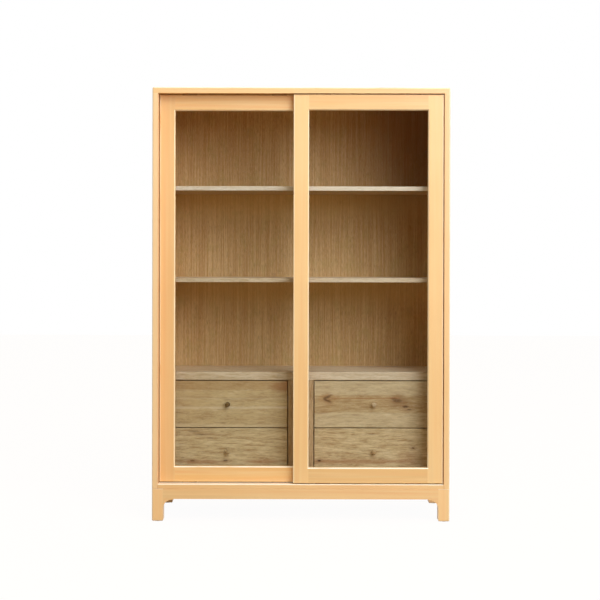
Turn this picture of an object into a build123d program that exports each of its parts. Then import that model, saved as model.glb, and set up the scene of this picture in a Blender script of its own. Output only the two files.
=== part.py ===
from build123d import *
from math import asin, degrees
import os

# A glazed cabinet on a low leg frame: two sliding glass doors in front of two shelves and
# a case of four drawers. All sizes are in millimetres. X runs to the right, Y to the back
# and Z up, and the origin is on the floor under the middle of the cabinet.

# ---- driving dimensions -----------------------------------------------------------------

# whole cabinet
width = 1200
depth = 420
height = 1750
base_height = 132

# carcass boards
side_thickness = 24
top_thickness = 24
floor_thickness = 18
back_thickness = 6
back_inset = 12
back_tongue = 6
outer_round = 5
small_round = 1.5
floor_round = 3

# dowels that join the carcass
dowel_radius = 4
dowel_length = 30
dowel_depth_thin = 12
dowel_rows = 3
dowel_margin = 36
dowel_clearance = 0.1
dowel_end_gap = 0.5

# shelves and their pins
shelf_thickness = 18
shelf_setback = 82
shelf_gap = 1
shelf_round = 2
lower_compartment = 369
middle_compartment = 357
pin_radius = 2.5
pin_length = 16
pin_clearance = 0.1
pin_setback = 40

# drawer case
case_setback = 104
case_height = 444
case_top_thickness = 34
case_base_thickness = 18
case_side_thickness = 27
case_round = 3
centre_post_width = 104
centre_post_thickness = 25
partition_thickness = 18

# drawers
drawer_gap = 3.5
drawer_rows = ("lower", "upper")
drawer_front_thickness = 20
drawer_front_round = 1.5
box_wall = 14
box_wall_height = 150
box_lift = 16
box_side_gap = 4.5
box_rear_gap = 8
box_housing = 8
box_bottom_thickness = 6
box_bottom_lift = 8
box_bottom_groove = 5
runner_thickness = 10
runner_height = 12.4
runner_clearance = 0.3
runner_groove = 6
runner_end_gap = 2

# drawer knobs
knob_length = 20
knob_head_radius = 10
knob_neck_radius = 4.5
knob_foot_radius = 6
knob_foot_length = 2
knob_neck_reach = 6
knob_flare_radius = 7
knob_flare_reach = 10
knob_head_reach = 14.4
knob_rim_radius = 6.5
knob_crown_radius = 18
screw_radius = 2
screw_clearance = 0.1
screw_grip = 10
screw_head_radius = 4
screw_head_length = 2.5

# sliding doors
door_thickness = 25
front_door_setback = 6
door_pitch = 30
door_side_gap = 2.5
door_bottom_gap = 4.5
door_top_gap = 4.5
stile_width = 62
rail_height = 62
glass_lip = 10
glass_thickness = 5
glass_bite = 8
bead_width = 10
sight_chamfer = 4
tenon_thickness = 9
tenon_length = 35
tenon_shoulder = 12
haunch_gap = 4
tenon_clearance = 0.1
tenon_end_gap = 1

# what the doors run on
track_width = 8
floor_track_depth = 6
top_track_depth = 14
strip_thickness = 1
strip_side_gap = 0.2
glider_thickness = 7
glider_length = 60
glider_seat = 12
glider_inset = 120
glider_clearance = 0.2
guide_reach = 7

# leg frame
leg_size = 45
foot_round = 5
frame_chamfer = 2
apron_height = 41.5
apron_thickness = 22
apron_tenon_thickness = 10
apron_tenon_length = 15
apron_tenon_shoulder = 7
bracket_width = 42
bracket_drop = 32
bracket_land = 2
glide_radius = 14
glide_thickness = 3
glide_seat = 1.5
glide_clearance = 0.1

# ---- places that follow from them ---------------------------------------------------------

front = -depth / 2
rear = depth / 2
half_width = width / 2
inner_half = half_width - side_thickness
carcass_top = height - top_thickness
floor_top = base_height + floor_thickness
back_face = rear - back_inset - back_thickness

case_front = front + case_setback
case_top = floor_top + case_height
case_floor = floor_top + case_base_thickness
case_ceiling = case_top - case_top_thickness
case_inner_half = inner_half - case_side_thickness
post_half = centre_post_width / 2

shelf_bottoms = {
    "lower": case_top + lower_compartment,
    "upper": case_top + lower_compartment + shelf_thickness + middle_compartment,
}

pin_rows_y = (front + shelf_setback + pin_setback, back_face - pin_setback)

drawer_pitch = (case_ceiling - case_floor - drawer_gap) / len(drawer_rows)
drawer_front_height = drawer_pitch - drawer_gap
box_rear = back_face - box_rear_gap
box_front = case_front + drawer_front_thickness

door_bottom = floor_top + door_bottom_gap
door_top = carcass_top - door_top_gap
door_outer = inner_half - door_side_gap
door_meeting = stile_width / 2
door_fronts = {
    "left": front + front_door_setback + door_pitch,
    "right": front + front_door_setback,
}

leg_inner_x = half_width - leg_size
leg_inner_y = rear - leg_size
leg_bottom = glide_thickness - glide_seat
apron_bottom = base_height - apron_height

sides = {"left": -1, "right": 1}
ends = {"front": -1, "rear": 1}


# ---- small helpers ------------------------------------------------------------------------


def span(a, b):
    """The two ends of a stretch, lowest first."""
    return (min(a, b), max(a, b))


def block(x, y, z, mode=Mode.ADD):
    """A square block in the open part, given by its spans along X, Y and Z."""
    centre = ((x[0] + x[1]) / 2, (y[0] + y[1]) / 2, (z[0] + z[1]) / 2)
    with Locations(centre):
        Box(x[1] - x[0], y[1] - y[0], z[1] - z[0], mode=mode)


def grown(limits, by):
    """A span made longer by the same amount at both ends."""
    return (limits[0] - by, limits[1] + by)


def rod(start, direction, radius, length, mode=Mode.ADD):
    """A round rod in the open part, from its start point along a direction."""
    with Locations(Plane(origin=start, z_dir=direction)):
        Cylinder(radius, length, align=(Align.CENTER, Align.CENTER, Align.MIN), mode=mode)


def front_corners(piece):
    """The upright edges along the front of a board, the one nearest the middle first."""
    edges = piece.edges().filter_by(Axis.Z).group_by(Axis.Y)[0]
    return edges.sort_by(lambda edge: abs(edge.center().X))


def spread(low, high, count):
    """Evenly spaced places from low to high, both included."""
    step = (high - low) / (count - 1)
    return [low + step * i for i in range(count)]


def save(piece, name):
    """Label a finished piece and write it out under its own name."""
    piece.part.label = name
    export_step(piece.part, f"parts/{name}.step")


def save_group(pieces, name):
    """Write pieces that touch but stay apart as the separate solids of one named group."""
    group = Compound([solid for piece in pieces for solid in piece.part.solids()])
    group.label = name
    export_step(group, f"parts/{name}.step")


os.makedirs("parts", exist_ok=True)

# ---- dowels -------------------------------------------------------------------------------

# A dowel's place is the point where it crosses the joint between its two boards. It goes
# deeper into the edge of one board than into the face of the other.
dowel_rows_y = spread(front + dowel_margin, back_face - dowel_margin, dowel_rows)
dowel_depth_thick = dowel_length - dowel_depth_thin
dowel_x = half_width - side_thickness / 2
leg_dowel_y = rear - leg_size / 2

top_dowels = [(sign * dowel_x, y, carcass_top) for sign in sides.values() for y in dowel_rows_y]
leg_dowels = [
    (sign * dowel_x, end * leg_dowel_y, base_height)
    for sign in sides.values()
    for end in ends.values()
]
floor_dowel_z = base_height + floor_thickness / 2
up = (0, 0, 1)
down = (0, 0, -1)


def dowel_hole(start, direction, reach):
    """A blind hole for a dowel in the open part, a little wider and deeper than the dowel."""
    rod(start, direction, dowel_radius + dowel_clearance, reach + dowel_end_gap, Mode.SUBTRACT)


# ---- carcass ------------------------------------------------------------------------------

for side, sign in sides.items():
    with BuildPart() as side_panel:
        block(
            span(sign * inner_half, sign * half_width),
            (front, rear),
            (base_height, carcass_top),
        )
        fillet(front_corners(side_panel)[-1], outer_round)
        fillet(front_corners(side_panel)[0], small_round)
        block(
            span(sign * inner_half, sign * (inner_half + back_tongue)),
            (back_face, back_face + back_thickness),
            (base_height, carcass_top),
            Mode.SUBTRACT,
        )
        for x, y, z in top_dowels:
            dowel_hole((x, y, z), down, dowel_depth_thick)
        for x, y, z in leg_dowels:
            dowel_hole((x, y, z), up, dowel_depth_thick)
        for y in dowel_rows_y:
            dowel_hole((sign * inner_half, y, floor_dowel_z), (sign, 0, 0), dowel_depth_thin)
        for bottom in shelf_bottoms.values():
            for y in pin_rows_y:
                rod(
                    (sign * inner_half, y, bottom - pin_radius),
                    (sign, 0, 0),
                    pin_radius + pin_clearance,
                    pin_length / 2 + pin_clearance,
                    Mode.SUBTRACT,
                )
    save(side_panel, f"side_panel_{side}")

with BuildPart() as top_board:
    block((-half_width, half_width), (front, rear), (carcass_top, height))
    fillet(top_board.edges().filter_by(Axis.Z).group_by(Axis.Y)[0], outer_round)
    top_edges = top_board.faces().sort_by(Axis.Z)[-1].edges()
    fillet(top_edges.sort_by(Axis.Y)[:-1], outer_round)
    for y_front in door_fronts.values():
        middle = y_front + door_thickness / 2
        block(
            (-inner_half, inner_half),
            grown((middle, middle), track_width / 2),
            (carcass_top, carcass_top + top_track_depth),
            Mode.SUBTRACT,
        )
    block(
        grown((-inner_half, inner_half), back_tongue),
        (back_face, back_face + back_thickness),
        (carcass_top, carcass_top + back_tongue),
        Mode.SUBTRACT,
    )
    for start in top_dowels:
        dowel_hole(start, up, dowel_depth_thin)
save(top_board, "top_board")

with BuildPart() as floor_board:
    block((-inner_half, inner_half), (front, back_face), (base_height, floor_top))
    front_top_edge = floor_board.edges().filter_by(Axis.X).group_by(Axis.Y)[0].sort_by(Axis.Z)[-1]
    fillet(front_top_edge, floor_round)
    for y_front in door_fronts.values():
        middle = y_front + door_thickness / 2
        block(
            (-inner_half, inner_half),
            grown((middle, middle), track_width / 2),
            (floor_top - floor_track_depth, floor_top),
            Mode.SUBTRACT,
        )
    for sign in sides.values():
        for y in dowel_rows_y:
            dowel_hole((sign * inner_half, y, floor_dowel_z), (-sign, 0, 0), dowel_depth_thick)
save(floor_board, "floor_board")

with BuildPart() as back_panel:
    block(
        grown((-inner_half, inner_half), back_tongue),
        (back_face, back_face + back_thickness),
        (base_height, carcass_top + back_tongue),
    )
save(back_panel, "back_panel")

with BuildPart() as carcass_dowels:
    for x, y, z in top_dowels:
        rod((x, y, z - dowel_depth_thick), up, dowel_radius, dowel_length)
    for x, y, z in leg_dowels:
        rod((x, y, z - dowel_depth_thin), up, dowel_radius, dowel_length)
    for sign in sides.values():
        for y in dowel_rows_y:
            start = (sign * (inner_half - dowel_depth_thick), y, floor_dowel_z)
            rod(start, (sign, 0, 0), dowel_radius, dowel_length)
save(carcass_dowels, "carcass_dowels")

# ---- shelves ------------------------------------------------------------------------------

for level, bottom in shelf_bottoms.items():
    with BuildPart() as shelf:
        block(
            grown((-inner_half, inner_half), -shelf_gap),
            (front + shelf_setback, back_face),
            (bottom, bottom + shelf_thickness),
        )
        fillet(shelf.edges().filter_by(Axis.X).group_by(Axis.Y)[0], shelf_round)
    save(shelf, f"shelf_{level}")

with BuildPart() as shelf_pins:
    for bottom in shelf_bottoms.values():
        for sign in sides.values():
            for y in pin_rows_y:
                start = (sign * (inner_half - pin_length / 2), y, bottom - pin_radius)
                rod(start, (sign, 0, 0), pin_radius, pin_length)
save(shelf_pins, "shelf_pins")

# ---- drawer case --------------------------------------------------------------------------

with BuildPart() as case_top_board:
    block((-inner_half, inner_half), (case_front, back_face), (case_ceiling, case_top))
    fillet(case_top_board.edges().filter_by(Axis.X).group_by(Axis.Y)[0], case_round)
save(case_top_board, "case_top_board")

with BuildPart() as case_base_board:
    block((-inner_half, inner_half), (case_front, back_face), (floor_top, case_floor))
save(case_base_board, "case_base_board")

for side, sign in sides.items():
    with BuildPart() as case_side:
        block(
            span(sign * case_inner_half, sign * inner_half),
            (case_front, back_face),
            (case_floor, case_ceiling),
        )
        fillet(front_corners(case_side)[0], small_round)
    save(case_side, f"case_side_{side}")

with BuildPart() as centre_post:
    block(
        (-post_half, post_half),
        (case_front, case_front + centre_post_thickness),
        (case_floor, case_ceiling),
    )
    fillet(front_corners(centre_post), small_round)
save(centre_post, "centre_post")

with BuildPart() as case_partitions:
    for sign in sides.values():
        block(
            span(sign * (post_half - partition_thickness), sign * post_half),
            (case_front + centre_post_thickness, back_face),
            (case_floor, case_ceiling),
        )
save(case_partitions, "case_partitions")

# ---- drawers ------------------------------------------------------------------------------

box_outer = case_inner_half - box_side_gap
box_inner = post_half + box_side_gap
row_bottoms = {
    row: case_floor + drawer_gap + drawer_pitch * i for i, row in enumerate(drawer_rows)
}


def runner_middle(front_bottom):
    """Height of the middle of a drawer's runners, from the bottom of its front."""
    return front_bottom + box_lift + box_wall_height / 2


with BuildPart() as drawer_runners:
    runner_starts = {
        case_inner_half: case_inner_half - runner_thickness,
        post_half: post_half + runner_thickness,
    }
    for sign in sides.values():
        for front_bottom in row_bottoms.values():
            middle = runner_middle(front_bottom)
            for wall, tip in runner_starts.items():
                block(
                    span(sign * wall, sign * tip),
                    (case_front + centre_post_thickness + runner_end_gap, box_rear),
                    grown((middle, middle), runner_height / 2),
                )
save(drawer_runners, "drawer_runners")

for row, front_bottom in row_bottoms.items():
    for side, sign in sides.items():
        drawer = f"drawer_{row}_{side}"
        front_x = span(sign * (post_half + drawer_gap), sign * (case_inner_half - drawer_gap))
        front_z = (front_bottom, front_bottom + drawer_front_height)
        box_z = (front_bottom + box_lift, front_bottom + box_lift + box_wall_height)
        bottom_z = (box_z[0] + box_bottom_lift, box_z[0] + box_bottom_lift + box_bottom_thickness)
        inside_x = span(sign * (box_inner + box_wall), sign * (box_outer - box_wall))
        outside_x = span(sign * box_inner, sign * box_outer)
        bottom_x = grown(inside_x, box_bottom_groove)
        bottom_y = (box_front - box_bottom_groove, box_rear)
        wall_x = ((outside_x[0], inside_x[0]), (inside_x[1], outside_x[1]))
        wall_y = (box_front - box_housing, box_rear)
        knob_x = (front_x[0] + front_x[1]) / 2
        knob_z = (front_z[0] + front_z[1]) / 2
        hole_radius = screw_radius + screw_clearance
        hole_depth = screw_grip + screw_clearance

        with BuildPart() as drawer_front:
            block(front_x, (case_front, box_front), front_z)
            fillet(drawer_front.faces().sort_by(Axis.Y)[0].edges(), drawer_front_round)
            for wall in wall_x:
                block(wall, (box_front - box_housing, box_front), box_z, Mode.SUBTRACT)
            block(inside_x, (bottom_y[0], box_front), bottom_z, Mode.SUBTRACT)
            rod(
                (knob_x, case_front, knob_z),
                (0, 1, 0),
                hole_radius,
                drawer_front_thickness,
                Mode.SUBTRACT,
            )
        save(drawer_front, f"{drawer}_front")

        with BuildPart() as box_walls:
            for wall in wall_x:
                block(wall, wall_y, box_z)
            groove_z = grown(
                (runner_middle(front_bottom), runner_middle(front_bottom)),
                runner_height / 2 + runner_clearance,
            )
            groove_y = (box_front, box_rear)
            block((outside_x[0], outside_x[0] + runner_groove), groove_y, groove_z, Mode.SUBTRACT)
            block((outside_x[1] - runner_groove, outside_x[1]), groove_y, groove_z, Mode.SUBTRACT)
            block(bottom_x, bottom_y, bottom_z, Mode.SUBTRACT)
        with BuildPart() as box_back:
            block(inside_x, (box_rear - box_wall, box_rear), (bottom_z[1], box_z[1]))
        save_group((box_walls, box_back), f"{drawer}_box")

        with BuildPart() as drawer_bottom:
            block(bottom_x, bottom_y, bottom_z)
        save(drawer_bottom, f"{drawer}_bottom")

        with BuildPart() as knob:
            with BuildSketch(Plane(origin=(knob_x, case_front, knob_z), z_dir=up)):
                with BuildLine():
                    hole = Polyline((0, -hole_depth), (hole_radius, -hole_depth), (hole_radius, 0))
                    foot = Polyline(
                        hole @ 1, (knob_foot_radius, 0), (knob_foot_radius, -knob_foot_length)
                    )
                    neck = ThreePointArc(
                        foot @ 1,
                        (knob_neck_radius, -knob_neck_reach),
                        (knob_flare_radius, -knob_flare_reach),
                    )
                    crown = CenterArc(
                        (0, knob_crown_radius - knob_length),
                        knob_crown_radius,
                        start_angle=-90,
                        arc_size=degrees(asin(knob_rim_radius / knob_crown_radius)),
                    )
                    ThreePointArc(neck @ 1, (knob_head_radius, -knob_head_reach), crown @ 1)
                    Line(crown @ 0, hole @ 0)
                make_face()
            revolve(axis=Axis((knob_x, case_front, knob_z), (0, 1, 0)))
        with BuildPart() as knob_screw:
            shank_start = (knob_x, case_front - screw_grip, knob_z)
            rod(shank_start, (0, 1, 0), screw_radius, screw_grip + drawer_front_thickness)
            rod((knob_x, box_front, knob_z), (0, 1, 0), screw_head_radius, screw_head_length)
        save_group((knob, knob_screw), f"{drawer}_knob")

# ---- sliding doors ------------------------------------------------------------------------

with BuildPart() as door_track_strips:
    for y_front in door_fronts.values():
        middle = y_front + door_thickness / 2
        strip_bottom = floor_top - floor_track_depth
        block(
            (-inner_half, inner_half),
            grown((middle, middle), track_width / 2 - strip_side_gap),
            (strip_bottom, strip_bottom + strip_thickness),
        )
save(door_track_strips, "door_track_strips")

for side, sign in sides.items():
    door = f"door_{side}"
    y_front = door_fronts[side]
    y_rear = y_front + door_thickness
    y_middle = (y_front + y_rear) / 2
    door_x = span(sign * door_outer, -sign * door_meeting)
    sight_x = grown(door_x, -stile_width)
    sight_z = (door_bottom + rail_height, door_top - rail_height)
    rebate_x = grown(sight_x, bead_width)
    rebate_z = grown(sight_z, bead_width)
    rebate_y = (y_front + glass_lip, y_rear)
    bead_y = (y_front + glass_lip + glass_thickness, y_rear)
    tenon_y = grown((y_middle, y_middle), tenon_thickness / 2)
    stile_x = {
        "outer": span(sign * door_outer, sign * (door_outer - stile_width)),
        "meeting": span(-sign * door_meeting, -sign * (door_meeting - stile_width)),
    }
    rail_z = {"bottom": (door_bottom, sight_z[0]), "top": (sight_z[1], door_top)}
    tenon_z = {
        "bottom": (door_bottom + tenon_shoulder, rebate_z[0] - haunch_gap),
        "top": (rebate_z[1] + haunch_gap, door_top - tenon_shoulder),
    }
    glider_x = [
        grown((x, x), glider_length / 2)
        for x in (door_x[0] + glider_inset, door_x[1] - glider_inset)
    ]
    glider_y = grown((y_middle, y_middle), glider_thickness / 2)
    seat_z = {
        "bottom": (door_bottom, door_bottom + glider_seat),
        "top": (door_top - glider_seat, door_top),
    }

    # the splayed inner edge that runs round the front of the frame
    with BuildPart() as sight_splay:
        for depth_in, growth in ((0, sight_chamfer), (sight_chamfer, 0)):
            splay_centre = (sum(sight_x) / 2, sum(sight_z) / 2)
            with BuildSketch(Plane.XZ.offset(-(y_front + depth_in))):
                with Locations(splay_centre):
                    Rectangle(
                        sight_x[1] - sight_x[0] + 2 * growth,
                        sight_z[1] - sight_z[0] + 2 * growth,
                    )
        loft()

    for place, stile_span in stile_x.items():
        with BuildPart() as stile:
            block(stile_span, (y_front, y_rear), (door_bottom, door_top))
            upright_edges = stile.edges().filter_by(Axis.Z)
            door_middle = sum(door_x) / 2
            by_reach = upright_edges.sort_by(lambda edge: -abs(edge.center().X - door_middle))
            fillet(by_reach[:2], small_round)
            block(rebate_x, rebate_y, rebate_z, Mode.SUBTRACT)
            for z in tenon_z.values():
                block(
                    grown(sight_x, tenon_length + tenon_end_gap),
                    grown(tenon_y, tenon_clearance),
                    grown(z, tenon_clearance),
                    Mode.SUBTRACT,
                )
            add(sight_splay.part, mode=Mode.SUBTRACT)
        save(stile, f"{door}_stile_{place}")

    for place, z in rail_z.items():
        with BuildPart() as rail:
            block(sight_x, (y_front, y_rear), z)
            block(grown(sight_x, tenon_length), tenon_y, tenon_z[place])
            block(rebate_x, rebate_y, rebate_z, Mode.SUBTRACT)
            for x in glider_x:
                block(x, glider_y, seat_z[place], Mode.SUBTRACT)
            add(sight_splay.part, mode=Mode.SUBTRACT)
        save(rail, f"{door}_rail_{place}")

    with BuildPart() as glass:
        block(
            grown(sight_x, glass_bite),
            (y_front + glass_lip, y_front + glass_lip + glass_thickness),
            grown(sight_z, glass_bite),
        )
    save(glass, f"{door}_glass")

    with BuildPart() as level_beads:
        for z in ((rebate_z[0], sight_z[0]), (sight_z[1], rebate_z[1])):
            block(rebate_x, bead_y, z)
    with BuildPart() as upright_beads:
        for x in ((rebate_x[0], sight_x[0]), (sight_x[1], rebate_x[1])):
            block(x, bead_y, sight_z)
    save_group((level_beads, upright_beads), f"{door}_glazing_beads")

    with BuildPart() as gliders:
        strip_top = floor_top - floor_track_depth + strip_thickness
        for x in glider_x:
            block(x, glider_y, (strip_top + glider_clearance, door_bottom + glider_seat))
    save(gliders, f"{door}_gliders")

    with BuildPart() as top_guides:
        for x in glider_x:
            block(x, glider_y, (door_top - glider_seat, carcass_top + guide_reach))
    save(top_guides, f"{door}_top_guides")

# ---- leg frame ----------------------------------------------------------------------------

apron_tenon_z = (apron_bottom + apron_tenon_shoulder, base_height - apron_tenon_shoulder)
tenon_far = apron_thickness / 2 + apron_tenon_thickness / 2
tenon_near = apron_thickness / 2 - apron_tenon_thickness / 2

for side, sign in sides.items():
    for end, towards in ends.items():
        long_tenon_y = span(towards * (rear - tenon_far), towards * (rear - tenon_near))
        short_tenon_x = span(sign * (half_width - tenon_far), sign * (half_width - tenon_near))
        with BuildPart() as leg:
            block(
                span(sign * leg_inner_x, sign * half_width),
                span(towards * leg_inner_y, towards * rear),
                (leg_bottom, base_height),
            )
            corner = leg.edges().filter_by(Axis.Z).sort_by(
                lambda edge: abs(edge.center().X) + abs(edge.center().Y)
            )[-1]
            if end == "front":
                fillet(corner, outer_round)
            fillet(leg.faces().sort_by(Axis.Z)[0].edges(), foot_round)
            outer_edges = [
                edge
                for edge in leg.faces().sort_by(Axis.Z)[-1].edges()
                if sign * edge.center().X > leg_inner_x + 1
                and towards * edge.center().Y > leg_inner_y + 1
            ]
            chamfer(outer_edges, frame_chamfer)
            block(
                span(sign * leg_inner_x, sign * (leg_inner_x + apron_tenon_length + tenon_end_gap)),
                grown(long_tenon_y, tenon_clearance),
                grown(apron_tenon_z, tenon_clearance),
                Mode.SUBTRACT,
            )
            block(
                grown(short_tenon_x, tenon_clearance),
                span(
                    towards * leg_inner_y,
                    towards * (leg_inner_y + apron_tenon_length + tenon_end_gap),
                ),
                grown(apron_tenon_z, tenon_clearance),
                Mode.SUBTRACT,
            )
            dowel_hole((sign * dowel_x, towards * leg_dowel_y, base_height), down, dowel_depth_thin)
            glide_spot = (
                sign * (half_width - leg_size / 2),
                towards * (rear - leg_size / 2),
                leg_bottom,
            )
            rod(glide_spot, up, glide_radius + glide_clearance, glide_seat, Mode.SUBTRACT)
        save(leg, f"leg_{end}_{side}")

for end, towards in ends.items():
    with BuildPart() as apron:
        apron_y = span(towards * (rear - apron_thickness), towards * rear)
        tenon_y = span(towards * (rear - tenon_far), towards * (rear - tenon_near))
        block((-leg_inner_x, leg_inner_x), apron_y, (apron_bottom, base_height))
        upper_edges = apron.edges().filter_by(Axis.X).group_by(Axis.Z)[-1]
        chamfer(upper_edges.sort_by(lambda edge: towards * edge.center().Y)[-1], frame_chamfer)
        block(grown((-leg_inner_x, leg_inner_x), apron_tenon_length), tenon_y, apron_tenon_z)
    save(apron, f"apron_{end}")

for side, sign in sides.items():
    with BuildPart() as apron:
        apron_x = span(sign * (half_width - apron_thickness), sign * half_width)
        tenon_x = span(sign * (half_width - tenon_far), sign * (half_width - tenon_near))
        block(apron_x, (-leg_inner_y, leg_inner_y), (apron_bottom, base_height))
        upper_edges = apron.edges().filter_by(Axis.Y).group_by(Axis.Z)[-1]
        chamfer(upper_edges.sort_by(lambda edge: sign * edge.center().X)[-1], frame_chamfer)
        block(tenon_x, grown((-leg_inner_y, leg_inner_y), apron_tenon_length), apron_tenon_z)
    save(apron, f"apron_{side}")

# Each bracket seat is the corner between a leg and an apron, the way the apron runs from
# there, and the way in from the apron's face.
bracket_seats = [
    (Vector(sign * leg_inner_x, front, apron_bottom), Vector(-sign, 0, 0), Vector(0, 1, 0))
    for sign in sides.values()
] + [
    (
        Vector(sign * half_width, towards * leg_inner_y, apron_bottom),
        Vector(0, -towards, 0),
        Vector(-sign, 0, 0),
    )
    for sign in sides.values()
    for towards in ends.values()
]

with BuildPart() as corner_brackets:
    for corner, along, inward in bracket_seats:
        facing = along.cross(Vector(0, 0, 1))
        with BuildSketch(Plane(origin=corner, x_dir=along, z_dir=facing)):
            with BuildLine():
                Polyline(
                    (bracket_land, -bracket_drop),
                    (0, -bracket_drop),
                    (0, 0),
                    (bracket_width, 0),
                    (bracket_width, -bracket_land),
                )
                EllipticalCenterArc(
                    center=(bracket_width, -bracket_drop),
                    x_radius=bracket_width - bracket_land,
                    y_radius=bracket_drop - bracket_land,
                    start_angle=90,
                    arc_size=90,
                )
            make_face()
        extrude(amount=apron_thickness * facing.dot(inward))
save(corner_brackets, "corner_brackets")

with BuildPart() as foot_glides:
    for sign in sides.values():
        for towards in ends.values():
            centre = (sign * (half_width - leg_size / 2), towards * (rear - leg_size / 2), 0)
            rod(centre, up, glide_radius, glide_thickness)
save(foot_glides, "foot_glides")
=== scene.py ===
"""A tall apricot cabinet with two sliding glass doors, oak shelves and four oak drawers.

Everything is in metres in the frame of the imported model: the origin lies on the floor under the
middle of the cabinet, and its front faces -Y.
"""

import math

import bpy
import numpy as np
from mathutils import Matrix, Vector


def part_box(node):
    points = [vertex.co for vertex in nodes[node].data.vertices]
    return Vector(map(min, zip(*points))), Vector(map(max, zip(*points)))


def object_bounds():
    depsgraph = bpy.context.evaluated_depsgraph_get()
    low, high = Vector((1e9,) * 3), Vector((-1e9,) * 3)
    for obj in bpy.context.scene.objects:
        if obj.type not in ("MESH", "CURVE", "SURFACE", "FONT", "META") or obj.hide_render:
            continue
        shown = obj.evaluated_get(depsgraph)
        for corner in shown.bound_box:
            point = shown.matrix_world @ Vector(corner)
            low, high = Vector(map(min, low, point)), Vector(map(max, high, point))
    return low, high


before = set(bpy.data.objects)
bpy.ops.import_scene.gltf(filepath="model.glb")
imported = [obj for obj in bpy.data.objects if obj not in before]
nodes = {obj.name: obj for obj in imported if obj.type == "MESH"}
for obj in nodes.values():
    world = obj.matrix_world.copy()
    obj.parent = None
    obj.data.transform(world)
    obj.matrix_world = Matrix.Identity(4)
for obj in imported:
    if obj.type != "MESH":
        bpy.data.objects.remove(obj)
packed_low, packed_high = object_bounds()


# ---------------------------------------------------------------------------------------------
# Shader tools
# ---------------------------------------------------------------------------------------------


class Signal:
    """A node's output. Arithmetic with numbers and with other signals adds Math nodes."""

    def __init__(self, finish, socket):
        self.finish, self.socket = finish, socket

    def other(self, output):
        """Another output of the same node."""
        return Signal(self.finish, self.socket.node.outputs[output])

    def __add__(self, value):
        return self.finish.math("ADD", self, value)

    def __radd__(self, value):
        return self.finish.math("ADD", value, self)

    def __sub__(self, value):
        return self.finish.math("SUBTRACT", self, value)

    def __rsub__(self, value):
        return self.finish.math("SUBTRACT", value, self)

    def __mul__(self, value):
        return self.finish.math("MULTIPLY", self, value)

    def __rmul__(self, value):
        return self.finish.math("MULTIPLY", value, self)

    def __truediv__(self, value):
        return self.finish.math("DIVIDE", self, value)

    def __rtruediv__(self, value):
        return self.finish.math("DIVIDE", value, self)


class Finish:
    """A material's or world's node tree that is being written."""

    def __init__(self, owner):
        owner.use_nodes = True
        self.owner, self.tree = owner, owner.node_tree
        self.tree.nodes.clear()

    def node(self, kind, settings=None, inputs=None, output=0):
        """Adds a node, applies its settings, then the values or links of its sockets."""
        made = self.tree.nodes.new("ShaderNode" + kind)
        for name, value in (settings or {}).items():
            setattr(made, name, value)
        for key, value in (inputs or {}).items():
            socket = (
                next(s for s in made.inputs if s.name == key and s.enabled)
                if isinstance(key, str)
                else made.inputs[key]
            )
            if isinstance(value, Signal):
                self.tree.links.new(value.socket, socket)
            elif isinstance(value, tuple) and len(value) == 3 and socket.type == "RGBA":
                socket.default_value = (*value, 1.0)
            else:
                socket.default_value = value
        if isinstance(output, str):
            found = next(s for s in made.outputs if s.name == output and s.enabled)
            return Signal(self, found)
        return Signal(self, made.outputs[output]) if made.outputs else None

    def math(self, operation, *values):
        return self.node("Math", {"operation": operation}, dict(enumerate(values)))

    def mix(self, factor, a, b):
        """A colour between a and b."""
        sockets = {"Factor": factor, "A": a, "B": b}
        return self.node("Mix", {"data_type": "RGBA"}, sockets, "Result")

    def step(self, value, low, high):
        """0 below low and 1 above high, with a soft step between; high may be the smaller."""
        return self.node(
            "MapRange",
            {"interpolation_type": "SMOOTHSTEP"},
            {0: value, 1: low, 2: high, 3: 0.0, 4: 1.0},
        )

    def vector(self, x, y, z):
        return self.node("CombineXYZ", None, {0: x, 1: y, 2: z})

    def noise(self, vector, scale, detail=2.0, roughness=0.5):
        """Fractal noise from 0 to 1 about 0.5."""
        return self.node(
            "TexNoise",
            {"noise_dimensions": "3D"},
            {"Vector": vector, "Scale": scale, "Detail": detail, "Roughness": roughness},
        )

    def parts(self, vector):
        """The three components of a vector."""
        x = self.node("SeparateXYZ", None, {0: vector})
        return x, x.other("Y"), x.other("Z")

    def axes(self):
        """The three Object coordinates."""
        return self.parts(self.node("TexCoord", output="Object"))

    def facing(self):
        """The three components of the direction that the face looks in."""
        return self.parts(self.node("NewGeometry", output="True Normal"))

    def bump(self, height, strength, distance):
        """The normal of a skin whose height, times the distance in metres, varies."""
        sockets = {"Height": height, "Strength": strength, "Distance": distance}
        return self.node("Bump", None, sockets)

    def show(self, shader):
        """Sends the shader to the output."""
        kind = {"World": "OutputWorld"}.get(self.owner.bl_rna.identifier, "OutputMaterial")
        self.node(kind, None, {0: shader})
        return self.owner

    def show_skin(self, tone, roughness, normal, constants=None):
        """Shows a Principled surface; the constants are values of its other sockets."""
        sockets = {"Base Color": tone, "Roughness": roughness, "Normal": normal}
        return self.show(self.node("BsdfPrincipled", None, {**sockets, **(constants or {})}))


def srgb(red, green, blue):
    """A linear colour from 8-bit display values."""
    parts = [c / 255 for c in (red, green, blue)]
    return tuple(c / 12.92 if c <= 0.04045 else ((c + 0.055) / 1.055) ** 2.4 for c in parts)


def new_finish(name):
    return Finish(bpy.data.materials.new(name))


# ---------------------------------------------------------------------------------------------
# Materials
#
# A number that multiplies u, v or w in a noise is the pattern's count per metre along, across or
# through the board. The two limits of a step on a noise are where its mark begins and is full.
# ---------------------------------------------------------------------------------------------


def along_grain(m, axis):
    """(along, across, through) coordinates of a board whose grain runs along the axis."""
    x, y, z = m.axes()
    return {"x": (x, z, y), "y": (y, x, z), "z": (z, x, y)}[axis]


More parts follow.
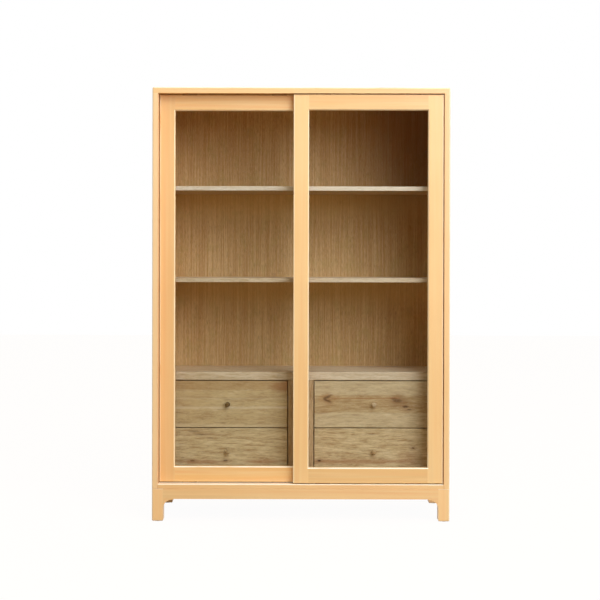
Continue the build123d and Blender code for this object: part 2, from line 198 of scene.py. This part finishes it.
def rubbed_lit_edges(m, low, high, reach, slanted):
    """1 along the edges of the box from low to high and, if slanted, on slanted faces, else 0.

    A point lies on an edge where it is within reach of two of the box's faces that meet: the
    largest product of two such nearnesses. A slanted face, such as the splay round a pane, is
    one whose normal has no component over 0.95.
    """
    near = []
    for place, start, end in zip(m.axes(), low, high):
        inset = m.math("MINIMUM", place - start, end - place)
        near.append(m.step(inset, reach, 0.25 * reach))
    ridge = m.math("MAXIMUM", near[1] * near[2], near[2] * near[0])
    ridge = m.math("MAXIMUM", ridge, near[0] * near[1])
    if not slanted:
        return ridge
    across, back, up = [m.math("ABSOLUTE", part) for part in m.facing()]
    square = m.math("MAXIMUM", across, m.math("MAXIMUM", back, up))
    return m.math("MAXIMUM", ridge, m.step(square, 0.99, 0.95))


EDGE_REACH = 0.006
STREAK_PALE, STREAK_WARM = srgb(248, 213, 150), srgb(240, 176, 110)
STREAK_DULL = srgb(224, 192, 132)
# The lighter coat at the edges and on ledges, partly wear and partly painted highlight, and
# the painted shadow in the strip beside the doors.
RUBBED_LIT_UPRIGHT, RUBBED_LIT_LEDGE = srgb(255, 232, 182), srgb(255, 244, 212)
GAP_SHADE_TONE = srgb(214, 147, 84)
# The painted shadow strip lies inside this half width and in front of this depth; each pair is a
# soft limit.
GAP_SHADE_INSIDE, GAP_SHADE_BEFORE = (0.58, 0.577), (-0.14, -0.16)


def lacquer(name, axis, light, dark, low, high, figure, slanted=True, lit_tops=False, edge_rub_and_highlight=0.85,
            gap_shade=False):
    """Satin apricot lacquer over closed-pore wood, between a light and a dark tone.

    A faint tone drifts over the piece, long soft streaks of the wood below follow the grain, the
    sprayed coat has a fine orange-peel ripple, and along the edges of the box from low to high it
    is lighter, lightest on ledges, and on slanted faces too if slanted is true: partly a coat
    thinned by rubbing and partly a painted highlight where edges and ledges catch the light.
    figure is how much of the wood shows through and rubbed how far the edges are lightened.
    With tread the faces that look up are lightened too, a painted highlight from light above,
    and with seam the strip that a door closes against is darkened, a painted shadow.
    """
    m = new_finish(name)
    u, v, w = along_grain(m, axis)
    place = m.vector(*m.axes())
    drift = m.noise(place, 2.3, 2.0)
    streaks = m.noise(m.vector(u * 1.6, v * 85.0, w * 85.0), 1.0, 3.0, 0.6)
    warm = m.noise(m.vector(u * 0.9 + 5.0, v * 48.0, w * 48.0), 1.0, 2.0)
    peel = m.noise(place, 420.0, 1.0)
    rub = m.noise(place, 9.0, 3.0)
    tone = m.mix(m.step(drift, 0.3, 0.7), dark, light)
    tone = m.mix(m.step(streaks, 0.38, 0.72) * figure, tone, STREAK_PALE)
    tone = m.mix(m.step(warm, 0.5, 0.74) * figure, tone, STREAK_WARM)
    tone = m.mix(m.step(warm, 0.48, 0.26) * figure * 0.6, tone, STREAK_DULL)
    # Edges lighter, partly wear and partly painted highlight; ledges lightest, where light falls
    # from above.
    rubbed_lit = edge_rub_and_highlight * rubbed_lit_edges(m, low, high, EDGE_REACH, slanted) * m.step(rub, 0.1, 0.55)
    upward = m.step(m.facing()[2], 0.3, 0.8)
    # Painted highlight: faces that look up are lightened as if lit from above.
    if lit_tops:
        rubbed_lit = m.math("MAXIMUM", rubbed_lit, upward)
    tone = m.mix(rubbed_lit, tone, m.mix(upward, RUBBED_LIT_UPRIGHT, RUBBED_LIT_LEDGE))
    # Painted shadow: the side panels' strip in front of the closed doors is darkened brown, like
    # the shade in the gap.
    if gap_shade:
        x, y, _ = m.axes()
        strip = m.step(m.math("ABSOLUTE", x), *GAP_SHADE_INSIDE) * m.step(y, *GAP_SHADE_BEFORE)
        tone = m.mix(0.5 * strip, tone, GAP_SHADE_TONE)
    shine = 0.36 + 0.1 * m.noise(place, 34.0, 3.0) + 0.05 * streaks
    skin = m.bump(0.6 * peel + 0.4 * streaks, 0.12, 0.0006)
    return m.show_skin(tone, shine, skin, {"Coat Weight": 0.25, "Coat Roughness": 0.2})


# RUSSET_WOOD_AND_SHADE is wood colour in most patches and painted shade along the lower drawers'
# bottom edges.
GOLDEN, RUSSET_WOOD_AND_SHADE = srgb(164, 112, 50), srgb(168, 104, 52)
UMBER, CREAM = srgb(132, 92, 46), srgb(236, 218, 178)
# Painted light: the tone that makes the right halves of the shelves and of the case top lighter,
# where light from the right falls.
PAINTED_LIGHT_PALE = srgb(255, 240, 208)
OAK_RAY, OAK_PORE = srgb(236, 218, 180), srgb(112, 84, 50)
KNOT_RIM, KNOT_CORE = srgb(148, 98, 52), srgb(78, 48, 24)
# Painted shade: the tone that faces looking down are darkened towards.
UNDERSIDE_SHADE_TONE = srgb(163, 118, 30)
RING_PITCH = 0.006


def oak(name, axis, heart=(0.0, 0.12, 0.05), knots=(), spikes=(), bands=(), patches=(),
        pale=srgb(222, 197, 143), deep=srgb(174, 138, 87), seed=0.0, ripple=0.03,
        figure=(0.38, 0.34, 0.42), underside_shade=0.0):
    """Clear-finished oak.

    The growth rings are circles about a pith that lies behind the board and tilts along it, so
    the face cuts them into long arches: the ring number is the length of (across - heart,
    depth + tilt * along) over the ring pitch, bent by slow noise. The tone is noise over the
    ring number, which makes rings of uneven width and strength, with short dashes of late wood,
    pores and mottling over them. Near a knot the ring number turns into the distance from the
    knot, which wraps the rings round it. heart is (across, depth, tilt); a knot is (along,
    across, half length, half height, darkness); a spike is (along, across, length, spread), the
    V that a branch leaves where the saw runs along it; a band is (across, half height,
    strength, tone), a strip of other wood that the board is glued from; a patch is (along,
    across, half length, half height, strength, tone), a cloud of another tone. ripple is how far
    the rings wander, figure how strongly the rings, the mottling and the dashes show, and browned
    how far the faces that look down are darkened brown, a painted shade under the board.
    """
    m = new_finish(name)
    u, v, w = along_grain(m, axis)
    slow = m.noise(m.vector(u * 2.4 + seed, v * 7.0, w * 7.0), 1.0, 2.0) - 0.5
    fine = m.noise(m.vector(u * 20.0 + seed, v * 70.0, w * 70.0), 1.0, 3.0, 0.6) - 0.5
    across = v - heart[0] + ripple * slow
    depth = w + heart[1] + heart[2] * u
    reach = m.math("SQRT", across * across + depth * depth)
    rings = (reach + 0.008 * fine) / RING_PITCH
    stain, core = 0.0, 0.0
    for at_u, at_v, half_u, half_v, dark in knots:
        du, dv = (u - at_u) / half_u, (v - at_v) / half_v
        away = m.math("SQRT", du * du + dv * dv) + 1.9 * fine
        near = m.step(away, 3.6, 1.2)
        rings = rings + near * (away * 1.6 - rings)
        stain = m.math("MAXIMUM", stain, m.step(away, 4.4, 0.4) * (0.6 * dark))
        core = m.math("MAXIMUM", core, m.step(away, 1.5, 0.4) * dark)
    for at_u, at_v, length, spread in spikes:
        inside = (u - at_u) / length
        off_arm = m.math("ABSOLUTE", v - at_v + 0.006 * fine) - spread * inside
        off_arm = m.math("ABSOLUTE", off_arm)
        ends = m.step(inside, -0.15, 0.2) * m.step(inside, 1.15, 0.55)
        core = m.math("MAXIMUM", core, m.step(off_arm, 0.0075, 0.0012) * ends * 0.62)
        stain = m.math("MAXIMUM", stain, m.step(off_arm, 0.02, 0.0) * ends * 0.5)
    rise = m.vector(rings, u * 6.0 + seed, w * 5.0)
    growth = m.step(m.noise(rise, 0.9, 4.0, 0.7), 0.32, 0.7)
    mottle = m.noise(m.vector(u * 13.0 + seed, v * 72.0, w * 72.0), 1.0, 4.0, 0.62)
    mottle = m.step(mottle, 0.36, 0.66)
    dashes = m.noise(m.vector(u * 24.0 + seed, v * 165.0 + 9.0 * slow, w * 165.0), 1.0, 3.0, 0.65)
    dashes = m.step(dashes, 0.44, 0.66)
    pores = m.noise(m.vector(u * 70.0, v * 1100.0, w * 1100.0), 1.0, 1.0)
    pores = m.step(pores, 0.52, 0.68) * (0.25 + 0.75 * growth)
    flecks = m.noise(m.vector(u * 30.0, v * 260.0, w * 60.0), 1.0, 1.0)
    flecks = m.step(flecks, 0.6, 0.72) * (1.0 - growth)
    tone = m.mix(figure[0] * growth + figure[1] * mottle + figure[2] * dashes, pale, deep)
    tone = m.mix(flecks * 0.4, tone, OAK_RAY)
    tone = m.mix(pores * 0.45, tone, OAK_PORE)
    for at_v, half_v, strength, colour in bands:
        inside = m.math("ABSOLUTE", v - at_v + 0.012 * fine + 0.008 * slow)
        inside = m.step(inside, half_v + 0.003, half_v - 0.003)
        tone = m.mix(inside * strength, tone, colour)
    for at_u, at_v, half_u, half_v, strength, colour in patches:
        du, dv = (u - at_u) / half_u, (v - at_v) / half_v
        away = m.math("SQRT", du * du + dv * dv) + 1.4 * fine
        tone = m.mix(m.step(away, 1.3, 0.3) * strength, tone, colour)
    if knots or spikes:
        tone = m.mix(stain, tone, KNOT_RIM)
        tone = m.mix(core, tone, KNOT_CORE)
    # Painted shade: faces that look down are darkened brown.
    if underside_shade:
        downward = m.step(m.facing()[2], -0.6, -0.9)
        tone = m.mix(underside_shade * downward, tone, UNDERSIDE_SHADE_TONE)
    shine = 0.5 + 0.14 * pores - 0.06 * flecks
    skin = m.bump(1.0 - 0.8 * pores - 0.15 * growth, 0.35, 0.0004)
    return m.show_skin(tone, shine, skin, {"Specular IOR Level": 0.3})


KNOB_PITH = (-0.9, 0.2)


def end_oak(name, pale, deep):
    """Turned oak seen on its end grain: rings about a pith beside the piece, and round pores."""
    m = new_finish(name)
    x, y, z = m.axes()
    beside, above = x - KNOB_PITH[0], z - KNOB_PITH[1]
    away = m.math("SQRT", beside * beside + above * above)
    wander = m.noise(m.vector(x * 30.0, y * 6.0, z * 30.0), 1.0, 2.0) - 0.5
    rings = m.noise(m.vector((away + 0.004 * wander) * 520.0, 0.0, y * 6.0), 1.0, 2.0)
    pores = m.step(m.noise(m.vector(x * 1500.0, y * 90.0, z * 1500.0), 1.0, 1.0), 0.56, 0.66)
    tone = m.mix(m.step(rings, 0.36, 0.66), pale, deep)
    tone = m.mix(0.5 * pores, tone, srgb(84, 58, 32))
    skin = m.bump(1.0 - pores, 0.3, 0.0003)
    return m.show_skin(tone, 0.34 + 0.2 * pores, skin, {"Specular IOR Level": 0.25})


LEAF_WIDTH = 0.145
VENEER_PALE, VENEER_LINE, VENEER_BAND = srgb(226, 191, 135), srgb(197, 155, 98), srgb(195, 152, 95)
VENEER_LEAF, VENEER_CLOUD = srgb(211, 168, 109), srgb(193, 166, 101)
VENEER_RAY, VENEER_PORE = srgb(230, 202, 152), srgb(108, 74, 34)
# The last two tones are painted: shade towards the upper right, and light in a band below the
# shelves.
VENEER_SHADE, VENEER_LIT_UNDER_SHELF = srgb(110, 64, 20), srgb(255, 218, 146)
# Where the painted shade begins and is full, to the right, upwards and close under the top.
SHADE_RIGHT, SHADE_UP, SHADE_TOP = (0.02, 0.5), (0.85, 1.6), (1.25, 1.5)
SHELF_UNDERSIDES = [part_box(name)[0][2] for name in ("shelf_lower", "shelf_upper")]
# How far below each shelf the painted light band reaches.
LIT_BAND_DROP = 0.16


def oak_veneer(name):
    """Straight-grained oak veneer, laid in leaves side by side, each a little different.

    Fine dark lines and broader bands run the whole height, both as noise that is stretched along
    the grain; clouds of a greener tone drift over the leaves, pores and ray flecks lie in short
    dashes along the lines. Its inner face is darkened towards the upper right corner, a painted
    shade, and lightened for a hand's breadth below the shelves, painted light against the
    shelves' shadow.
    """
    m = new_finish(name)
    u, v, w = along_grain(m, "z")
    sheet = m.math("FLOOR", v / LEAF_WIDTH + 0.37)
    chance = m.node("TexWhiteNoise", {"noise_dimensions": "1D"}, {"W": sheet + 3.1})
    bend = m.noise(m.vector(u * 0.8, v * 3.0 + chance * 9.0, w), 1.0, 2.0) - 0.5
    own = v + 0.03 * bend
    lines = m.noise(m.vector(u * 2.6 + chance * 20.0, own * 210.0, w), 1.0, 4.0, 0.68)
    broad = m.noise(m.vector(u * 0.9 + chance * 20.0, own * 42.0, w), 1.0, 2.0)
    cloud = m.noise(m.vector(u * 14.0, v * 22.0, w), 1.0, 4.0, 0.66)
    pores = m.noise(m.vector(u * 48.0, v * 1100.0, w), 1.0, 1.0)
    pores = m.step(pores, 0.5, 0.66)
    flecks = m.step(m.noise(m.vector(u * 40.0, v * 170.0, w), 1.0, 1.0), 0.64, 0.76)
    tone = m.mix(m.step(lines, 0.36, 0.64), VENEER_PALE, VENEER_LINE)
    tone = m.mix(m.step(broad, 0.4, 0.66) * 0.35, tone, VENEER_BAND)
    tone = m.mix(chance * 0.2, tone, VENEER_LEAF)
    tone = m.mix(m.step(cloud, 0.48, 0.66) * 0.4, tone, VENEER_CLOUD)
    tone = m.mix(flecks * 0.2, tone, VENEER_RAY)
    tone = m.mix(pores * 0.4, tone, VENEER_PORE)
    # Painted shade: darker towards the upper right and close under the top.
    painted_shade = 0.61 * m.step(v, *SHADE_RIGHT) * m.step(u, *SHADE_UP) + 0.13 * m.step(u, *SHADE_TOP)
    inner = m.step(m.facing()[1], 0.5, -0.5)
    # Painted light: a lighter band below each shelf, against the shelf's shadow.
    for under in SHELF_UNDERSIDES:
        lit_band = m.step(u, under - LIT_BAND_DROP, under) * m.step(u, under + 0.005, under)
        tone = m.mix(0.4 * lit_band * inner, tone, VENEER_LIT_UNDER_SHELF)
    tone = m.mix(painted_shade * inner, tone, VENEER_SHADE)
    skin = m.bump(1.0 - 0.7 * pores, 0.3, 0.0003)
    return m.show_skin(tone, 0.55 + 0.12 * pores, skin, {"Specular IOR Level": 0.06})


def beech(name, axis):
    """Pale beech with its short dark ray flecks."""
    m = new_finish(name)
    u, v, w = along_grain(m, axis)
    streaks = m.noise(m.vector(u * 1.5, v * 70.0, w * 70.0), 1.0, 3.0)
    flecks = m.step(m.noise(m.vector(u * 130.0, v * 900.0, w * 900.0), 1.0, 1.0), 0.6, 0.7)
    tone = m.mix(m.step(streaks, 0.35, 0.7), srgb(226, 194, 156), srgb(206, 168, 128))
    tone = m.mix(flecks * 0.45, tone, srgb(162, 118, 80))
    return m.show_skin(tone, 0.52 + 0.1 * flecks, m.bump(1.0 - flecks, 0.2, 0.0002))


def nylon(name):
    """Brown slide plastic with a dull moulded skin."""
    m = new_finish(name)
    place = m.vector(*m.axes())
    cloud = m.noise(place, 60.0, 2.0)
    skin = m.noise(place, 1800.0, 1.0)
    tone = m.mix(cloud, srgb(150, 98, 58), srgb(168, 112, 70))
    return m.show_skin(tone, 0.42 + 0.12 * cloud, m.bump(skin, 0.15, 0.0002))


def steel(name):
    """Bright turned steel with fine rings from the lathe."""
    m = new_finish(name)
    u, v, w = along_grain(m, "x")
    rings = m.noise(m.vector(u * 4000.0, v * 30.0, w * 30.0), 1.0, 2.0)
    tone = m.mix(rings, srgb(196, 196, 198), srgb(222, 222, 222))
    return m.show_skin(tone, 0.24 + 0.14 * rings, m.bump(rings, 0.2, 0.0001), {"Metallic": 1.0})


GLASS_TINT, GLASS_GLOSS = (0.955, 0.964, 0.956), (0.5, 0.52, 0.5)


def pane_glass(name):
    """Clear float glass: see-through, with the faint tint and the gloss of its faces."""
    m = new_finish(name)
    wave = m.noise(m.vector(*m.axes()), 3.0, 1.0)
    skin = m.bump(wave, 0.2, 0.002)
    mirror = m.node("Fresnel", None, {"IOR": 1.1, "Normal": skin})
    clear = m.node("BsdfTransparent", None, {"Color": GLASS_TINT})
    gloss = m.node(
        "BsdfGlossy", None, {"Color": GLASS_GLOSS, "Roughness": 0.02, "Normal": skin}
    )
    return m.show(m.node("MixShader", None, {0: mirror, 1: clear, 2: gloss}))


def box_round(names):
    """The lowest and highest corners of several nodes together."""
    boxes = [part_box(name) for name in names]
    return np.min([low for low, _ in boxes], axis=0), np.max([high for _, high in boxes], axis=0)


# The (light, dark) tones of the upright and the lying pieces of each sprayed part. They hold
# painted light as well: the right door is painted lighter and yellower than the left, and the
# left side panel and the legs lighter than the rest of the carcass, as the light falls on them.
LACQUER_LIT_TONES = {
    "carcass": {
        "upright": (srgb(250, 205, 139), srgb(245, 198, 131)),
        "lying": (srgb(249, 202, 134), srgb(244, 195, 126)),
    },
    "left_side_lit": {"upright": (srgb(255, 214, 152), srgb(251, 208, 145))},
    "legs_lit": {"upright": (srgb(255, 209, 140), srgb(252, 203, 134))},
    "door_left": {
        "upright": (srgb(242, 191, 121), srgb(237, 184, 113)),
        "lying": (srgb(248, 194, 119), srgb(242, 188, 112)),
    },
    "door_right": {
        "upright": (srgb(251, 206, 135), srgb(246, 199, 127)),
        "lying": (srgb(241, 193, 122), srgb(236, 187, 115)),
    },
}
DOORS = ("door_left", "door_right")
# The grain directions that each sprayed part's pieces have.
GRAIN_AXES = {
    "carcass": "xyz",
    "left_side_lit": "z",
    "legs_lit": "z",
    "door_left": "xz",
    "door_right": "xz",
}
# The box whose edges are lightened, partly wear and partly a painted highlight. A door's reaches
# beyond its height, so that only its upright edges are.
lacquered_boxes = {place: (packed_low, packed_high) for place in ("carcass", "left_side_lit", "legs_lit")}
BEYOND = np.array([0, 0, 0.05])
for door in DOORS:
    low, high = box_round([name for name in nodes if name.startswith(door + "_stile")])
    lacquered_boxes[door] = low - BEYOND, high + BEYOND
lacquers = {
    (place, axis): lacquer(
        f"apricot_lacquer_{place}_{axis}",
        axis,
        *LACQUER_LIT_TONES[place]["upright" if axis == "z" else "lying"],
        *box,
        figure=0.25 if axis == "z" else 0.5,
        slanted=place != "carcass" or axis == "z",
        edge_rub_and_highlight=0.85 if place in DOORS else 0.7,
        gap_shade=place in ("carcass", "left_side_lit") and axis == "z",
    )
    for place, box in lacquered_boxes.items()
    for axis in GRAIN_AXES[place]
}
# The floor board's lacquer, whose upward faces are lightened, a painted highlight from light above.
floor_lacquer_lit_top = lacquer(
    "apricot_lacquer_floor", "x", *LACQUER_LIT_TONES["carcass"]["lying"],
    *lacquered_boxes["carcass"], figure=0.5, lit_tops=True,
)
beeches = {axis: beech("beech_" + axis, axis) for axis in "xyz"}
veneer = oak_veneer("oak_veneer_upright")
plain_oak = {axis: oak("oak_" + axis, axis, seed=1.0 + "xyz".index(axis)) for axis in "xyz"}
fitted_oak = {
    # The shelves' and case top's patches are painted light on their right halves.
    "shelf_upper": oak(
        "oak_shelf_upper", "x", heart=(1.2, 0.2, 0.03), seed=4.0,
        pale=srgb(242, 226, 196), deep=srgb(222, 198, 158), underside_shade=0.7,
        patches=((0.3, 1.347, 0.35, 0.06, 0.3, PAINTED_LIGHT_PALE),),
    ),
    "shelf_lower": oak(
        "oak_shelf_lower", "x", heart=(0.9, 0.2, 0.03), seed=5.0,
        pale=srgb(231, 208, 168), deep=srgb(200, 169, 123), underside_shade=0.6,
        patches=((0.3, 0.972, 0.35, 0.06, 0.2, PAINTED_LIGHT_PALE),),
    ),
    "case_top_board": oak(
        "oak_case_top", "x", heart=(0.5, 0.2, 0.03), seed=6.0,
        pale=srgb(230, 207, 167), deep=srgb(196, 164, 114),
        patches=((0.3, 0.577, 0.35, 0.06, 0.18, PAINTED_LIGHT_PALE),),
    ),
    "centre_post": oak(
        "oak_centre_post", "z", heart=(0.01, 0.2, 0.03), seed=7.0,
        pale=srgb(220, 188, 136), deep=srgb(180, 140, 88),
    ),
    "drawer_upper_left_front": oak(
        "oak_drawer_upper_left", "x", heart=(0.60, 0.6, 0.01), seed=2.0, figure=(0.3, 0.12, 0.3),
        pale=srgb(219, 191, 135), deep=srgb(170, 132, 80),
        bands=(
            (0.540, 0.019, 0.32, GOLDEN),
            (0.447, 0.004, 0.4, CREAM),
            (0.484, 0.0015, 0.3, CREAM),
            (0.372, 0.008, 0.2, CREAM),
        ),
        patches=(
            (-0.075, 0.535, 0.055, 0.028, 0.5, RUSSET_WOOD_AND_SHADE),
            (-0.46, 0.50, 0.12, 0.1, 0.14, GOLDEN),
        ),
    ),
    "drawer_lower_left_front": oak(
        "oak_drawer_lower_left", "x", heart=(0.12, 0.3, 0.04), seed=3.0, ripple=0.05,
        pale=srgb(232, 208, 153), deep=srgb(182, 147, 95),
        figure=(0.42, 0.3, 0.5),
        patches=(
            # Painted shade: russet strips along the drawer's lower edge, where the rail shades it.
            (-0.42, 0.224, 0.12, 0.009, 0.5, RUSSET_WOOD_AND_SHADE),
            (-0.14, 0.226, 0.1, 0.009, 0.5, RUSSET_WOOD_AND_SHADE),
        ),
        knots=(
            (-0.41, 0.337, 0.03, 0.003, 0.5),
            (-0.37, 0.322, 0.014, 0.0025, 0.5),
            (-0.44, 0.349, 0.018, 0.003, 0.4),
            (-0.445, 0.228, 0.010, 0.003, 0.6),
            (-0.31, 0.229, 0.008, 0.003, 0.6),
        ),
    ),
    "drawer_upper_right_front": oak(
        "oak_drawer_upper_right", "x", heart=(0.60, 0.3, 0.02), seed=8.0,
        figure=(0.36, 0.24, 0.46),
        bands=(
            (0.532, 0.034, 0.2, CREAM),
            (0.393, 0.034, 0.2, CREAM),
            (0.464, 0.036, 0.2, GOLDEN),
        ),
        patches=(
            (0.405, 0.472, 0.045, 0.034, 0.5, UMBER),
            (0.25, 0.486, 0.16, 0.0035, 0.5, RUSSET_WOOD_AND_SHADE),
            (0.38, 0.487, 0.03, 0.004, 0.5, RUSSET_WOOD_AND_SHADE),
            (0.115, 0.484, 0.05, 0.026, 0.3, GOLDEN),
        ),
        spikes=((0.092, 0.484, 0.038, 0.016),),
        knots=(
            (0.382, 0.484, 0.012, 0.003, 0.5),
            (0.397, 0.476, 0.018, 0.006, 0.5),
            (0.430, 0.452, 0.012, 0.005, 0.7),
            (0.446, 0.440, 0.008, 0.003, 0.55),
        ),
    ),
    "drawer_lower_right_front": oak(
        "oak_drawer_lower_right", "x", heart=(0.25, 0.15, 0.04), seed=9.0, ripple=0.05,
        pale=srgb(236, 212, 158), deep=srgb(184, 149, 97),
        figure=(0.42, 0.3, 0.5),
        patches=(
            # Painted shade: a russet strip along the drawer's lower edge, where the rail shades it.
            (0.2, 0.226, 0.3, 0.011, 0.5, RUSSET_WOOD_AND_SHADE),
            (0.45, 0.24, 0.06, 0.03, 0.3, RUSSET_WOOD_AND_SHADE),
        ),
        knots=(
            (0.075, 0.229, 0.008, 0.004, 1.0),
            (0.462, 0.282, 0.006, 0.003, 0.85),
            (0.293, 0.339, 0.014, 0.002, 0.5),
        ),
    ),
}
# Painted light in the knobs' tones: the upper left knob is painted dark, as in shade, and the upper
# right one pale, as lit; the lower two are end-grain tones near their drawers'.
KNOB_LIT_AND_SHADED_TONES = {
    "upper_left": (srgb(128, 96, 44), srgb(88, 62, 24)),
    "lower_left": (srgb(200, 170, 118), srgb(160, 126, 76)),
    "upper_right": (srgb(226, 198, 152), srgb(194, 160, 112)),
    "lower_right": (srgb(206, 172, 118), srgb(170, 134, 84)),
}
knob_oak = {
    f"drawer_{place}_knob": end_oak("oak_knob_" + place, *tones)
    for place, tones in KNOB_LIT_AND_SHADED_TONES.items()
}
other_finishes = {
    "nylon": nylon("slide_nylon"),
    "steel": steel("turned_steel"),
    "glass": pane_glass("float_glass"),
}

# The axis that each lacquered or beech piece's grain runs along; the rest stand upright.
LYING = {
    "x": ("top_board", "floor_board", "apron_front", "apron_rear", "rail_", "corner_brackets"),
    "y": ("apron_left", "apron_right"),
}
BEECH_LYING = {"y": ("drawer_runners",), "x": ("_box",)}
# The sprayed part that a lacquered piece's name begins with; the rest belong to the carcass.
SPRAYED = {
    "door_left": "door_left",
    "door_right": "door_right",
    "side_panel_left": "left_side_lit",
    "leg_": "legs_lit",
}


def grain_axis(name, lying):
    """The axis of the first table row that holds a part of the name, or else upright."""
    return next((axis for axis, marks in lying.items() if any(k in name for k in marks)), "z")


def finish_of(name, slot):
    """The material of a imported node."""
    if name == "floor_board":
        return floor_lacquer_lit_top
    if slot == "lacquered_wood":
        place = next((place for mark, place in SPRAYED.items() if name.startswith(mark)), "carcass")
        return lacquers[place, grain_axis(name, LYING)]
    if slot == "oak_veneer":
        return veneer
    if slot == "beech":
        return beeches[grain_axis(name, BEECH_LYING)]
    if slot == "oak":
        if name in fitted_oak:
            return fitted_oak[name]
        if name in knob_oak:
            return knob_oak[name]
        return plain_oak["z" if "side" in name or "partition" in name else "x"]
    return other_finishes[slot]


for name, node in nodes.items():
    for slot in node.material_slots:
        slot.material = finish_of(name, slot.material.name.split(".")[0])


# ---------------------------------------------------------------------------------------------
# Stage, camera and light
# ---------------------------------------------------------------------------------------------


def sheet_mesh(name, surface, rows, columns):
    """A mesh of the surface point(s, t) over the unit square, as one grid of quads."""
    s, t = np.meshgrid(np.linspace(0, 1, rows), np.linspace(0, 1, columns), indexing="ij")
    points = np.stack(surface(s, t), axis=-1).reshape(-1, 3)
    first = (np.arange(rows - 1)[:, None] * columns + np.arange(columns - 1)).ravel()
    faces = np.stack([first, first + columns, first + columns + 1, first + 1], axis=1)
    mesh = bpy.data.meshes.new(name)
    mesh.from_pydata(points.tolist(), [], faces.tolist())
    mesh.update()
    made = bpy.data.objects.new(name, mesh)
    bpy.context.scene.collection.objects.link(made)
    return made


def seen_directly(m):
    """1 for rays from the camera, from gloss and through glass, and 0 for rays of light."""
    path = m.node("LightPath", output="Is Camera Ray")
    seen = path + path.other("Is Glossy Ray") + path.other("Is Transmission Ray")
    return m.math("MINIMUM", seen, 1.0)


WHITE = (1.0, 1.0, 1.0)
FLOOR_HALF = 12.0
FLOOR_MATT, FLOOR_GLOW, FLOOR_SHARE = srgb(154, 128, 90), 1.12, 0.86


def floor_finish():
    """A pale floor: a share of plain white and, for the rest, a matt skin that takes shadows."""
    m = new_finish("pale_floor")
    matt = m.node("BsdfDiffuse", None, {"Color": FLOOR_MATT})
    white = m.node("Emission", None, {"Color": WHITE, "Strength": FLOOR_GLOW})
    factor = seen_directly(m) * FLOOR_SHARE
    return m.show(m.node("MixShader", None, {0: factor, 1: matt, 2: white}))


def floor_plane(s, t):
    """A level square round the origin, from -FLOOR_HALF to FLOOR_HALF each way."""
    return FLOOR_HALF * (2 * s - 1), FLOOR_HALF * (2 * t - 1), 0 * s


floor = sheet_mesh("floor", floor_plane, rows=9, columns=9)
floor.data.materials.append(floor_finish())

# The camera stands in front, a little above the cabinet's middle height, and looks nearly level.
CAMERA_PLACE = (-0.0047, -5.21, 1.06)
CAMERA_DIP, CAMERA_ROLL = 0.3, -0.12
camera_data = bpy.data.cameras.new("camera")
camera_data.sensor_width, camera_data.lens = 36.0, 74.5
camera_data.shift_y = -0.0580
camera = bpy.data.objects.new("camera", camera_data)
bpy.context.scene.collection.objects.link(camera)
camera.location = CAMERA_PLACE
camera.rotation_euler = (math.radians(90 - CAMERA_DIP), math.radians(CAMERA_ROLL), 0)
bpy.context.scene.camera = camera


def soft_lamp(name, place, aim, width, height, power, colour):
    """A rectangular lamp at place that faces aim."""
    data = bpy.data.lights.new(name, "AREA")
    data.shape, data.size, data.size_y = "RECTANGLE", width, height
    data.energy, data.color = power, colour
    lamp = bpy.data.objects.new(name, data)
    bpy.context.scene.collection.objects.link(lamp)
    lamp.location = place
    away = np.array(place) - np.array(aim)
    turn = math.atan2(away[0], -away[1])
    rise = math.atan2(away[2], math.hypot(away[0], away[1]))
    lamp.rotation_euler = (math.pi / 2 - rise, 0, turn)


soft_lamp(
    "window", place=(2.4, -3.9, 3.3), aim=(0.0, -0.1, 1.0), width=3.2, height=3.4, power=170,
    colour=(0.9, 0.97, 1.27),
)
soft_lamp(
    "overhead", place=(0.5, -2.0, 4.2), aim=(0.2, -0.4, 0.3), width=2.6, height=2.2, power=45,
    colour=(0.97, 1.0, 1.06),
)

SKY_BELOW, SKY_ABOVE = (0.13, 0.09, 0.03), (0.92, 0.94, 0.95)
REAR_RIGHT, REAR_LEFT = (0.66, 0.65, 0.64), (1.2, 1.17, 1.12)


def light_world(world):
    """Soft light that the world gives, and the plain white that is seen in its place.

    In front it runs from a warm dark low on the left to a pale sky high on the right, and behind
    the cabinet it is even, brighter on the left.
    """
    m = Finish(world)
    right, back, up = m.parts(m.node("TexCoord", output="Generated"))
    front = m.mix(m.step(0.55 * right + 0.8 * up, -0.35, 0.95), SKY_BELOW, SKY_ABOVE)
    rear = m.mix(m.step(right, -0.1, -0.6), REAR_RIGHT, REAR_LEFT)
    sky = m.mix(m.step(back, 0.0, 0.45), front, rear)
    glow = m.node("Background", None, {"Color": sky, "Strength": 1.0})
    blank = m.node("Background", None, {"Color": WHITE, "Strength": 1.0})
    m.show(m.node("MixShader", None, {0: seen_directly(m), 1: glow, 2: blank}))


bpy.context.scene.world = bpy.data.worlds.new("studio")
light_world(bpy.context.scene.world)

bpy.context.scene.view_settings.view_transform = "Standard"
